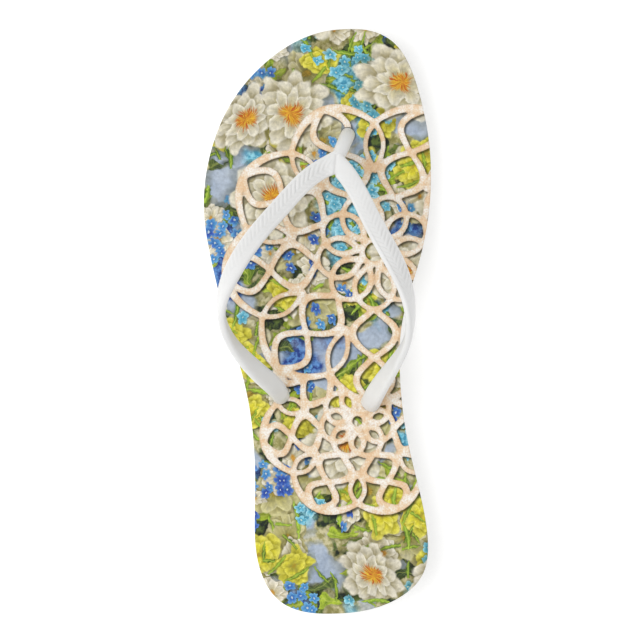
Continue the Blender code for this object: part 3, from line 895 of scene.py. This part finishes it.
# Ornament: marbled cream paper with grains of glitter and a darker rim, its edge a little frayed, and the
# shadow that it seems to cast.
FRAY_SIZE = 1.1
FRAY_REACH = 0.3
MARBLE_SIZE = 7.0
GLITTER_SIZE = 0.8
HALF_BAND = BAND_WIDTH / 2
band = node(tree, "Attribute", attribute_name="band").outputs["Fac"]
band_shadow = node(tree, "Attribute", attribute_name="band_shadow").outputs["Fac"]
fray = node(tree, "TexNoise", place, noise_dimensions="2D", Scale=1 / FRAY_SIZE, Detail=2.0)
edge = node(tree, "Math:MULTIPLY_ADD", fray.outputs[0], FRAY_REACH, band)
band_mask = node(tree, "MapRange", edge, HALF_BAND + 0.25, HALF_BAND + 0.05, 0.0, 1.0, **SOFT_ENDS)
cast = node(tree, "MapRange", band_shadow, HALF_BAND + 0.8, HALF_BAND - 0.4, 0.0, 0.9, **SOFT_ENDS)
colour = node(tree, "Mix", cast, colour, srgb("5C543F"), data_type="RGBA", blend_type="MULTIPLY")
marble = node(
    tree, "TexNoise", place, noise_dimensions="2D", Scale=1 / MARBLE_SIZE, Detail=4.0, Roughness=0.6
)
paper = node(
    tree,
    "ValToRGB",
    marble.outputs[0],
    stops=[(0.36, srgb("E9C8A0")), (0.48, srgb("EDD7B8")), (0.62, srgb("F4EDE1"))],
)
glitter = node(tree, "TexNoise", place, noise_dimensions="2D", Scale=1 / GLITTER_SIZE, Detail=2.0)
grains = node(tree, "MapRange", glitter.outputs[0], 0.50, 0.64, 0.0, 0.6)
strewn = node(tree, "MapRange", marble.outputs[0], 0.40, 0.60, 0.3, 1.0)
grains = node(tree, "Math:MULTIPLY", grains, strewn)
paper = node(tree, "Mix", grains, paper, srgb("FFFDF8"), data_type="RGBA")
blush = node(tree, "MapRange", glitter.outputs[0], 0.48, 0.36, 0.0, 0.3)
paper = node(tree, "Mix", blush, paper, srgb("DFB088"), data_type="RGBA")
rim = node(tree, "MapRange", edge, HALF_BAND - 0.5, HALF_BAND + 0.2, 0.0, 0.35)
paper = node(tree, "Mix", rim, paper, srgb("B48E62"), data_type="RGBA", blend_type="MULTIPLY")
colour = node(tree, "Mix", band_mask, colour, paper, data_type="RGBA")

# The cut edge shows the white foam under the fabric: the upward share of the normal where the print starts,
# and where it is full.
UPWARD = (0.25, 0.45)
colour = node(tree, "Mix", looking(tree, *UPWARD), srgb("F3F2EE"), colour, data_type="RGBA")
threads = node(
    tree, "TexVoronoi", place, voronoi_dimensions="2D", Scale=1 / THREAD_SPACING, Randomness=0.35
)
grain = node(
    tree, "Bump", Strength=0.4, Distance=THREAD_DEPTH * METRES_PER_MM, Height=threads.outputs["Distance"]
)
cloth = node(
    tree, "BsdfPrincipled", Base_Color=colour, Roughness=0.72, Normal=grain, Specular_IOR_Level=0.3
)
node(tree, "OutputMaterial", cloth)
footbed.data.materials.append(printed_fabric)
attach(footbed, "root")
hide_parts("footbed")

# ---------------------------------------------------------------------------------------------------
# Strap. One moulding of soft white PVC: two arms with a herringbone panel between smooth rims, a toe
# post, and a peg and plug at each hole that hold it in the sole.

# Each arm from the fork to its hole. Lean is in degrees: 0 where the outer face looks up, and 90 where it
# looks outwards.
ArmRow = namedtuple("ArmRow", "x y height width thickness lean")
CREASE_FRONT = (7.5, 75.4)
CREASE_BACK = (5.9, 64.4)
JUNCTION_HEIGHT = 30.0
JUNCTION_THICKNESS = 4.2
CREASE_RISE = 1.6
OUTER_ARM = (
    ArmRow(x=6.7, y=69.9, height=30.0, width=9.0, thickness=3.9, lean=0),
    ArmRow(x=-2.9, y=65.0, height=32.6, width=8.7, thickness=3.6, lean=2),
    ArmRow(x=-16.3, y=52.7, height=39.2, width=8.7, thickness=3.5, lean=10),
    ArmRow(x=-29.8, y=38.2, height=47.2, width=9.1, thickness=3.5, lean=24),
    ArmRow(x=-41.0, y=21.3, height=54.0, width=9.5, thickness=3.6, lean=43),
    ArmRow(x=-45.6, y=5.9, height=54.6, width=10.0, thickness=3.7, lean=86),
    ArmRow(x=-42.2, y=-6.4, height=49.6, width=10.0, thickness=3.7, lean=108),
    ArmRow(x=-35.4, y=-15.9, height=42.0, width=10.0, thickness=3.7, lean=128),
    ArmRow(x=-28.5, y=-22.9, height=33.2, width=9.4, thickness=3.8, lean=145),
    ArmRow(x=-22.8, y=-28.7, height=24.6, width=8.6, thickness=4.8, lean=157),
    ArmRow(x=-20.9, y=-31.9, height=18.1, width=7.6, thickness=7.4, lean=161),
)
INNER_ARM = (
    ArmRow(x=6.7, y=69.9, height=30.0, width=9.0, thickness=3.9, lean=0),
    ArmRow(x=12.0, y=62.8, height=33.4, width=8.6, thickness=3.6, lean=3),
    ArmRow(x=20.6, y=45.6, height=42.4, width=8.7, thickness=3.5, lean=11),
    ArmRow(x=27.3, y=32.1, height=49.6, width=9.4, thickness=3.5, lean=24),
    ArmRow(x=33.2, y=19.4, height=54.6, width=9.7, thickness=3.6, lean=40),
    ArmRow(x=36.6, y=5.6, height=56.4, width=9.8, thickness=3.7, lean=68),
    ArmRow(x=35.6, y=-8.0, height=52.4, width=10.0, thickness=3.7, lean=92),
    ArmRow(x=31.0, y=-17.0, height=45.4, width=10.0, thickness=3.7, lean=112),
    ArmRow(x=25.4, y=-24.8, height=36.2, width=10.0, thickness=3.7, lean=129),
    ArmRow(x=20.3, y=-32.3, height=26.2, width=9.2, thickness=4.6, lean=147),
    ArmRow(x=18.1, y=-36.4, height=18.2, width=8.6, thickness=7.4, lean=156),
)
SECTION_POINTS = 60
RING_SPACING = 0.42
# A section turns from a rounded oblong to nearly an ellipse as the arm thickens to the boss at its end.
ARM_SQUARENESS = 3.0
BOSS_SQUARENESS = 2.2
ARM_THICKNESS = 3.9
BOSS_THICKNESS = 7.0
# An arm's own sections start at this share of its first step and stop at this share of its last step before
# the end. Smooth bridges lead on to the crease at the fork and down to the footbed.
MITRE_SHARE = 2 / 3
SEAT_SHARE = 1 / 3
PostRow = namedtuple("PostRow", "x y height radius")
TOE_POST = (
    PostRow(x=12.3, y=81.7, height=14.6, radius=3.2),
    PostRow(x=11.5, y=80.0, height=20.4, radius=3.2),
    PostRow(x=9.4, y=75.6, height=26.2, radius=3.1),
    PostRow(x=7.5, y=71.6, height=29.5, radius=2.9),
)
POST_RINGS = 40
POST_SEGMENTS = 48
PLUG_EDGE = 0.5
PLUG_ROUND = 0.15
PLUG_RING = 4.4
PLUG_RING_WIDTH = 1.2
PLUG_RING_DEPTH = 0.35
PEG_RISE = 1.0
RIM_WIDTH = 1.3
RIM_SLOPE = 0.5
PANEL_DEPTH = 0.12
# Both panels fall away from their middle like a low roof, by this much for each millimetre.
ROOF_FALL = 0.12
RIDGE_HEIGHT = 0.62
RIDGE_PITCH = 2.8
RIDGE_SLANT = 50
RIDGE_BLUNTNESS = 0.8
# The two columns of ridges meet at this place across the arm, in a low spine.
RIDGE_MEETING = -0.7
MEETING_SLOPE = 0.6
SPINE_SHARE = 0.6
SPINE_WIDTH = 0.5
INNER_COLUMN_SHARE = 0.5
# How much of the ridges' height shows along each arm, at these distances from the fork.
OUTER_PANEL = ((1.5, 0.0), (5.0, 1.0), (24.0, 0.95), (40.0, 0.7), (62.0, 0.5), (86.0, 0.0))
INNER_PANEL = ((5.0, 0.0), (14.0, 0.3), (34.0, 0.4), (46.0, 0.85), (62.0, 0.85), (86.0, 0.0))
CREASE_DEPTH = 0.45
CREASE_WIDTH = 0.7
SECTION_SAMPLES = 1441
# The relief grows in over this share of the half thickness, from the arm's edge to its outer face.
CROWN_SHARE = 0.8
LOOK_AHEAD = 0.05
LANDING_PULL = 0.5
# A cross section's points with what their relief needs: their places across the arm, how much they belong
# to its outer face, where that looks, the distance from the fork and how much of the panel shows.
Ring = namedtuple("Ring", "points across crown face along panel")


def smooth_step(value, start, end):
    share = np.clip((value - start) / (end - start), 0, 1)
    return share * share * (3 - 2 * share)


def unit(vector):
    return vector / np.linalg.norm(vector)


def relief(along, across, half, share):
    """Height of the outer face's detail: the crease at the fork, and a panel folded like a low roof, with
    ridges in two columns between rims."""
    crease = CREASE_DEPTH * math.exp(-((along / CREASE_WIDTH) ** 2))
    rim = half - RIM_WIDTH
    panel = share * smooth_step(np.abs(across), rim + RIM_SLOPE / 2, rim - RIM_SLOPE / 2)
    beside = across - RIDGE_MEETING
    sideways = np.abs(beside)
    slanted = along + sideways * math.tan(math.radians(RIDGE_SLANT))
    ridge = np.abs(np.cos(math.pi * slanted / RIDGE_PITCH)) ** RIDGE_BLUNTNESS
    ridge *= 1 + (INNER_COLUMN_SHARE - 1) * smooth_step(beside, MEETING_SLOPE / 2, -MEETING_SLOPE / 2)
    spine = SPINE_SHARE + (1 - SPINE_SHARE) * smooth_step(sideways, 0.0, SPINE_WIDTH)
    fall = share * ROOF_FALL * sideways
    return panel * (RIDGE_HEIGHT * (ridge * spine - 1) - PANEL_DEPTH) - fall - crease


def section(half_wide, half_thick, squareness):
    """Evenly spaced points (across, through) round a shape between an ellipse (2) and an oblong (3)."""
    angle = np.linspace(0, math.tau, SECTION_SAMPLES)
    cosine, sine = np.cos(angle), np.sin(angle)
    across = np.sign(cosine) * np.abs(cosine) ** (2 / squareness) * half_wide
    through = np.sign(sine) * np.abs(sine) ** (2 / squareness) * half_thick
    length = np.concatenate([[0], np.cumsum(np.hypot(np.diff(across), np.diff(through)))])
    at = np.arange(SECTION_POINTS) / SECTION_POINTS * length[-1]
    return np.interp(at, length, across), np.interp(at, length, through)


def cross_section(centre, wide, face, half_wide, half_thick, squareness, along, panel):
    across, through = section(half_wide, half_thick, squareness)
    crown = smooth_step(through, 0.0, CROWN_SHARE * half_thick)
    points = centre + np.outer(across, wide) + np.outer(through, face)
    return Ring(points, across, crown, face, along, panel)


def seated(points):
    """The points laid down on the footbed, with the usual gap."""
    x, y = points[:, 0], points[:, 1]
    return np.stack([x, y, footbed_top(x, y) + LAYER_GAP], axis=1)


def route(rows):
    """The rows' places in the sandal, and the distance along them to each."""
    places = np.array([(row.x + SHIFT, row.y, row.height) for row in rows])
    steps = np.linalg.norm(np.diff(places, axis=0), axis=1)
    return places, np.concatenate([[0], np.cumsum(steps)])


def path_at(knots, places, at):
    """Points on the smooth path through the places, at these distances along it."""
    return np.stack([natural_spline(knots, places[:, axis], at) for axis in range(3)], axis=1)


def arm_rings(rows, side, panel_shares):
    """The arm's cross sections; side is 1 where the outer face lies left of the way down the rows."""
    places, knots = route(rows)
    first = MITRE_SHARE * knots[1]
    last = knots[-1] - SEAT_SHARE * (knots[-1] - knots[-2])
    stations = np.append(np.linspace(first, last, round((last - first) / RING_SPACING)), knots[-1])
    path = path_at(knots, places, stations)
    ahead = path_at(knots, places, stations + LOOK_AHEAD)
    shape = [natural_spline(knots, column(rows, name), stations) for name in ("width", "thickness", "lean")]
    for at, centre, step, width, thickness, lean in zip(stations, path, ahead - path, *shape):
        forward = unit(step)
        outward = unit(side * np.array([-forward[1], forward[0], 0.0]))
        upward = side * np.cross(forward, outward)
        turn = math.radians(lean)
        face = math.cos(turn) * upward + math.sin(turn) * outward
        wide = math.cos(turn) * outward - math.sin(turn) * upward
        swell = np.clip((thickness - ARM_THICKNESS) / (BOSS_THICKNESS - ARM_THICKNESS), 0, 1)
        squareness = ARM_SQUARENESS + (BOSS_SQUARENESS - ARM_SQUARENESS) * swell
        panel = np.interp(at, *zip(*panel_shares))
        yield cross_section(centre, wide, face, width / 2, thickness / 2, squareness, at, panel)


def mitre_ring():
    """The section that both arms share, along the crease at the fork."""
    front = np.array([*CREASE_FRONT, JUNCTION_HEIGHT - CREASE_RISE / 2])
    back = np.array([*CREASE_BACK, JUNCTION_HEIGHT + CREASE_RISE / 2])
    centre = (front + back) / 2 + np.array([SHIFT, 0, 0])
    wide = (front - back) / 2
    face = unit(np.cross([1.0, 0.0, 0.0], wide))
    half_wide = np.linalg.norm(wide)
    half_thick = JUNCTION_THICKNESS / 2
    return cross_section(centre, unit(wide), face, half_wide, half_thick, ARM_SQUARENESS, 0.0, 0.0)


def bridge(start, end, leaving, arriving):
    """Rings on smooth curves between two rings, along the given directions at either end."""
    reach = np.linalg.norm((end.points - start.points).mean(axis=0))
    count = max(round(reach / RING_SPACING), 3)
    for t in np.arange(1, count) / count:
        ease = t * t * (3 - 2 * t)
        points = start.points + ease * (end.points - start.points)
        points = points + reach * (t * (1 - t) ** 2 * leaving - t * t * (1 - t) * arriving)
        rest = [a + t * (b - a) for a, b in zip(start[1:], end[1:])]
        yield Ring(points, *rest)


def heading(start, end):
    return unit((end.points - start.points).mean(axis=0))


def whole_arm(rows, side, mitre, panel_shares):
    """Every ring of an arm after the mitre, down to the one on the footbed."""
    rings = list(arm_rings(rows, side, panel_shares))
    foot = rings.pop()
    foot = foot._replace(points=seated(foot.points))
    fork = bridge(mitre, rings[0], heading(mitre, rings[0]), heading(rings[0], rings[1]))
    landing = bridge(rings[-1], foot, heading(rings[-2], rings[-1]), np.array([0.0, 0.0, -LANDING_PULL]))
    return [*fork, *rings, *landing, foot]


def embossed(ring):
    height = relief(ring.along, ring.across, ring.across.max(), ring.panel)
    return ring.points + np.outer(ring.crown * height, ring.face)


def post_rings():
    """Every ring of the toe post, from the one on the footbed up into the fork."""
    places, knots = route(TOE_POST)
    at = np.linspace(0, knots[-1], POST_RINGS)
    path = path_at(knots, places, at)
    radii = natural_spline(knots, column(TOE_POST, "radius"), at)
    angle = np.linspace(0, math.tau, POST_SEGMENTS, endpoint=False)
    rings = []
    for centre, forward, radius in zip(path, np.gradient(path, axis=0), radii):
        wide = unit(np.cross(unit(forward), [0.0, 1.0, 0.0]))
        thick = np.cross(unit(forward), wide)
        rings.append(centre + radius * (np.outer(np.cos(angle), wide) + np.outer(np.sin(angle), thick)))
    rings[0] = seated(rings[0])
    return rings


def pegs_and_plugs():
    """A peg through each hole, headed by the round plug sunk in the underside, a ring moulded in it."""
    for hole in HOLES:
        x = hole.x + SHIFT
        low = underside(x, hole.y) + PLUG_SUNK
        high = low + PLUG_THICKNESS
        profile = (
            (PLUG_RING - PLUG_RING_WIDTH / 2, low),
            (PLUG_RING - PLUG_RING_WIDTH / 4, low + PLUG_RING_DEPTH),
            (PLUG_RING + PLUG_RING_WIDTH / 4, low + PLUG_RING_DEPTH),
            (PLUG_RING + PLUG_RING_WIDTH / 2, low),
            (PLUG_RADIUS - PLUG_EDGE, low),
            (PLUG_RADIUS - PLUG_ROUND, low + PLUG_ROUND),
            (PLUG_RADIUS, low + PLUG_EDGE),
            (PLUG_RADIUS, high - PLUG_EDGE),
            (PLUG_RADIUS - PLUG_ROUND, high - PLUG_ROUND),
            (PLUG_RADIUS - PLUG_EDGE, high),
            (PEG_RADIUS, high),
            (PEG_RADIUS, footbed_top(x, hole.y) + PEG_RISE),
        )
        yield turned("peg_and_plug", x, hole.y, profile, HOLE_SEGMENTS)


mitre = mitre_ring()
outer_arm = whole_arm(OUTER_ARM, -1, mitre, OUTER_PANEL)
arms = [*outer_arm[::-1], mitre, *whole_arm(INNER_ARM, 1, mitre, INNER_PANEL)]
strap = tube("moulded_strap", [embossed(ring) for ring in arms])
combine(strap, [tube("toe_post", post_rings()), *pegs_and_plugs()], "UNION")
soften(strap, degrees=50)

# Soft PVC, injection moulded in a satin mould: white, slightly translucent, with a soft broad sheen.
SATIN_SIZE = 0.7
SATIN_DEPTH = 0.05
HAZE_SIZE = 12.0
PVC_GLOW_DEPTH = 1.2
pvc, tree = material_tree("soft_pvc_moulded")
place = place_on_piece(tree)
satin = node(tree, "TexNoise", place, Scale=1 / SATIN_SIZE, Detail=2.0)
bump = node(tree, "Bump", Strength=0.12, Distance=SATIN_DEPTH * METRES_PER_MM, Height=satin.outputs[0])
haze = node(tree, "TexNoise", place, Scale=1 / HAZE_SIZE, Detail=3.0)
rough = node(tree, "MapRange", haze.outputs[0], 0.3, 0.7, 0.36, 0.46)
shade = node(tree, "ValToRGB", haze.outputs[0], stops=[(0.3, srgb("E3E3E2")), (0.7, srgb("E9E9E8"))])
skin = node(
    tree,
    "BsdfPrincipled",
    Base_Color=shade,
    Roughness=rough,
    Normal=bump,
    Subsurface_Weight=0.1,
    Subsurface_Radius=(1.0, 0.95, 0.9),
    Subsurface_Scale=PVC_GLOW_DEPTH * METRES_PER_MM,
    IOR=1.53,
)
node(tree, "OutputMaterial", skin)
strap.data.materials.append(pvc)
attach(strap, "root")
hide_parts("strap")

# ---------------------------------------------------------------------------------------------------
# Studio. A pale, evenly lit paper sweep under the sandal, soft light from the outer side and from all
# round, and a camera straight above with a long lens. Its sizes are in metres.

FLOOR_SIZE = 8.0
CAMERA_HEIGHT = 7.0
FRAME_WIDTH = 0.2824
CAMERA_ROLL = -1.96
KEY_DISTANCE = 1.3
KEY_ELEVATION = 60
KEY_SIZE = 1.1
KEY_POWER = 7.7
SKY_STRENGTH = 0.69

scene = bpy.context.scene
floor_mesh = bpy.data.meshes.new("floor")
half = FLOOR_SIZE / 2
corners = [(-half, -half, 0), (half, -half, 0), (half, half, 0), (-half, half, 0)]
floor_mesh.from_pydata(corners, [], [(0, 1, 2, 3)])
floor = bpy.data.objects.new("floor", floor_mesh)
scene.collection.objects.link(floor)
# Matt paper, lit through from behind, so that it shows white up to the sandal.
sweep, tree = material_tree("studio_sweep_paper")
paper = node(
    tree,
    "BsdfPrincipled",
    Base_Color=srgb("F6F6F6"),
    Roughness=0.9,
    Specular_IOR_Level=0.0,
    Emission_Color=srgb("FFFFFF"),
    Emission_Strength=0.3,
)
node(tree, "OutputMaterial", paper)
floor_mesh.materials.append(sweep)

world = bpy.data.worlds.new("studio")
world.use_nodes = True
sky = world.node_tree.nodes["Background"]
sky.inputs["Color"].default_value = srgb("FFFFFF")
sky.inputs["Strength"].default_value = SKY_STRENGTH
scene.world = world

key = bpy.data.objects.new("key_light", bpy.data.lights.new("key_light", "AREA"))
key.data.shape = "SQUARE"
key.data.size = KEY_SIZE
key.data.energy = KEY_POWER
tilt = math.radians(KEY_ELEVATION)
key.location = Vector((-math.cos(tilt), 0.0, math.sin(tilt))) * KEY_DISTANCE
key.rotation_euler = key.location.to_track_quat("Z", "Y").to_euler()
key.visible_camera = False
scene.collection.objects.link(key)

camera = bpy.data.objects.new("camera", bpy.data.cameras.new("camera"))
low, high = cad_box
camera.location = ((low.x + high.x) / 2, (low.y + high.y) / 2, CAMERA_HEIGHT)
camera.rotation_euler = (0, 0, math.radians(CAMERA_ROLL))
camera.data.sensor_width = 36.0
reach = CAMERA_HEIGHT - footbed_top(0.0, 0.0) * METRES_PER_MM
camera.data.lens = camera.data.sensor_width * reach / FRAME_WIDTH
scene.collection.objects.link(camera)
scene.camera = camera
scene.view_settings.view_transform = "Standard"
